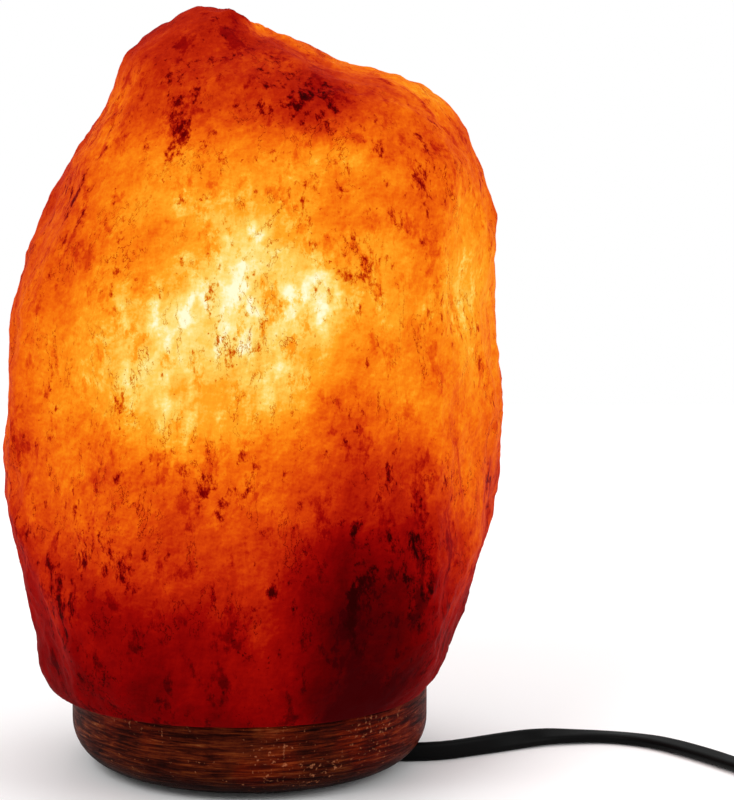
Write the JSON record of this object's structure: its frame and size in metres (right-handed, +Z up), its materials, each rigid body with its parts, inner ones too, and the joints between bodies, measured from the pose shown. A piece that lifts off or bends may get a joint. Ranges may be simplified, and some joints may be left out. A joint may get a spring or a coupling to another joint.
{
  "type": "salt crystal lamp",
  "caption": "Salt lamp: a hewn rock salt crystal on a turned wooden base, lit from inside by a screw-cap bulb, with a flat cord, an in-line dimmer and a flat-blade plug.",
  "frame": {"origin": "on the table, on the axis of the turned wooden base", "axes": "+Z up; -Y is the front; the cord leaves the base towards +X"},
  "size_m": [0.4315, 0.1408, 0.24],
  "materials": {
    "varnished_wood": "varnished, dark reddish brown",
    "rubber": "matte black rubber",
    "plated_steel": "zinc plated",
    "nylon": "natural nylon",
    "rock_salt": "hewn rock salt, orange to dark red, lit from inside",
    "holder_plastic": "black phenolic",
    "ceramic": "glazed white insulator",
    "brass": "brass",
    "spring_steel": "spring steel",
    "wire_insulation": "insulated conductor",
    "nickel_brass": "nickel plated brass",
    "black_glass": "black insulating glass",
    "solder": "solder",
    "clear_glass": "clear lamp glass",
    "stem_glass": "clear stem glass",
    "nickel_wire": "nickel wire",
    "tungsten": "coiled tungsten",
    "cord_vinyl": "black vinyl",
    "tie_plastic": "black plastic-covered wire",
    "dimmer_plastic": "fine-grained black moulding",
    "wheel_plastic": "black moulding, notched",
    "potentiometer_metal": "stamped case",
    "board_laminate": "paper laminate",
    "capacitor_film": "yellow film capacitor",
    "copper_winding": "enamelled copper winding",
    "triac_moulding": "black moulding with a metal tab",
    "plug_vinyl": "black vinyl moulding"
  },
  "bodies": {
    "lamp": {"wooden_base": "varnished_wood", "base_pads": "rubber", "base_screws": "plated_steel", "salt_anchors": "nylon", "salt_crystal": "rock_salt", "holder_cap": "holder_plastic", "holder_shell": "holder_plastic", "holder_core": "ceramic", "screw_shell": "brass", "centre_contact": "brass", "terminal_screws": "brass", "spring_clips": "spring_steel", "holder_wires": "wire_insulation", "bulb_cap": "nickel_brass", "bulb_insulator": "black_glass", "bulb_tip": "solder", "bulb_glass": "clear_glass", "bulb_stem": "stem_glass", "bulb_lead_wires": "nickel_wire", "bulb_filament": "tungsten", "inner_cord": "cord_vinyl", "cord_run": "cord_vinyl", "cord_tail": "cord_vinyl", "cord_coil": "cord_vinyl", "cord_lead": "cord_vinyl", "coil_tie": "tie_plastic", "dimmer_base": "dimmer_plastic", "dimmer_cover": "dimmer_plastic", "potentiometer": "potentiometer_metal", "dimmer_board": "board_laminate", "dimmer_capacitor": "capacitor_film", "dimmer_choke": "copper_winding", "dimmer_triac": "triac_moulding", "dimmer_terminals": "brass", "dimmer_wires": "wire_insulation", "dimmer_boots": "rubber", "dimmer_screws": "plated_steel", "plug_body": "plug_vinyl", "plug_blades": "nickel_brass"},
    "thumbwheel": {"dimmer_wheel": "wheel_plastic", "dimmer_spindle": "plated_steel"}
  },
  "joints": [
    {"name": "dimmer_turn", "type": "hinge", "parent": "lamp", "child": "thumbwheel", "pos_m": [0.253, -0.047, 0.0105], "axis": [0, 0, 1], "range_deg": [0, 270]}
  ]
}
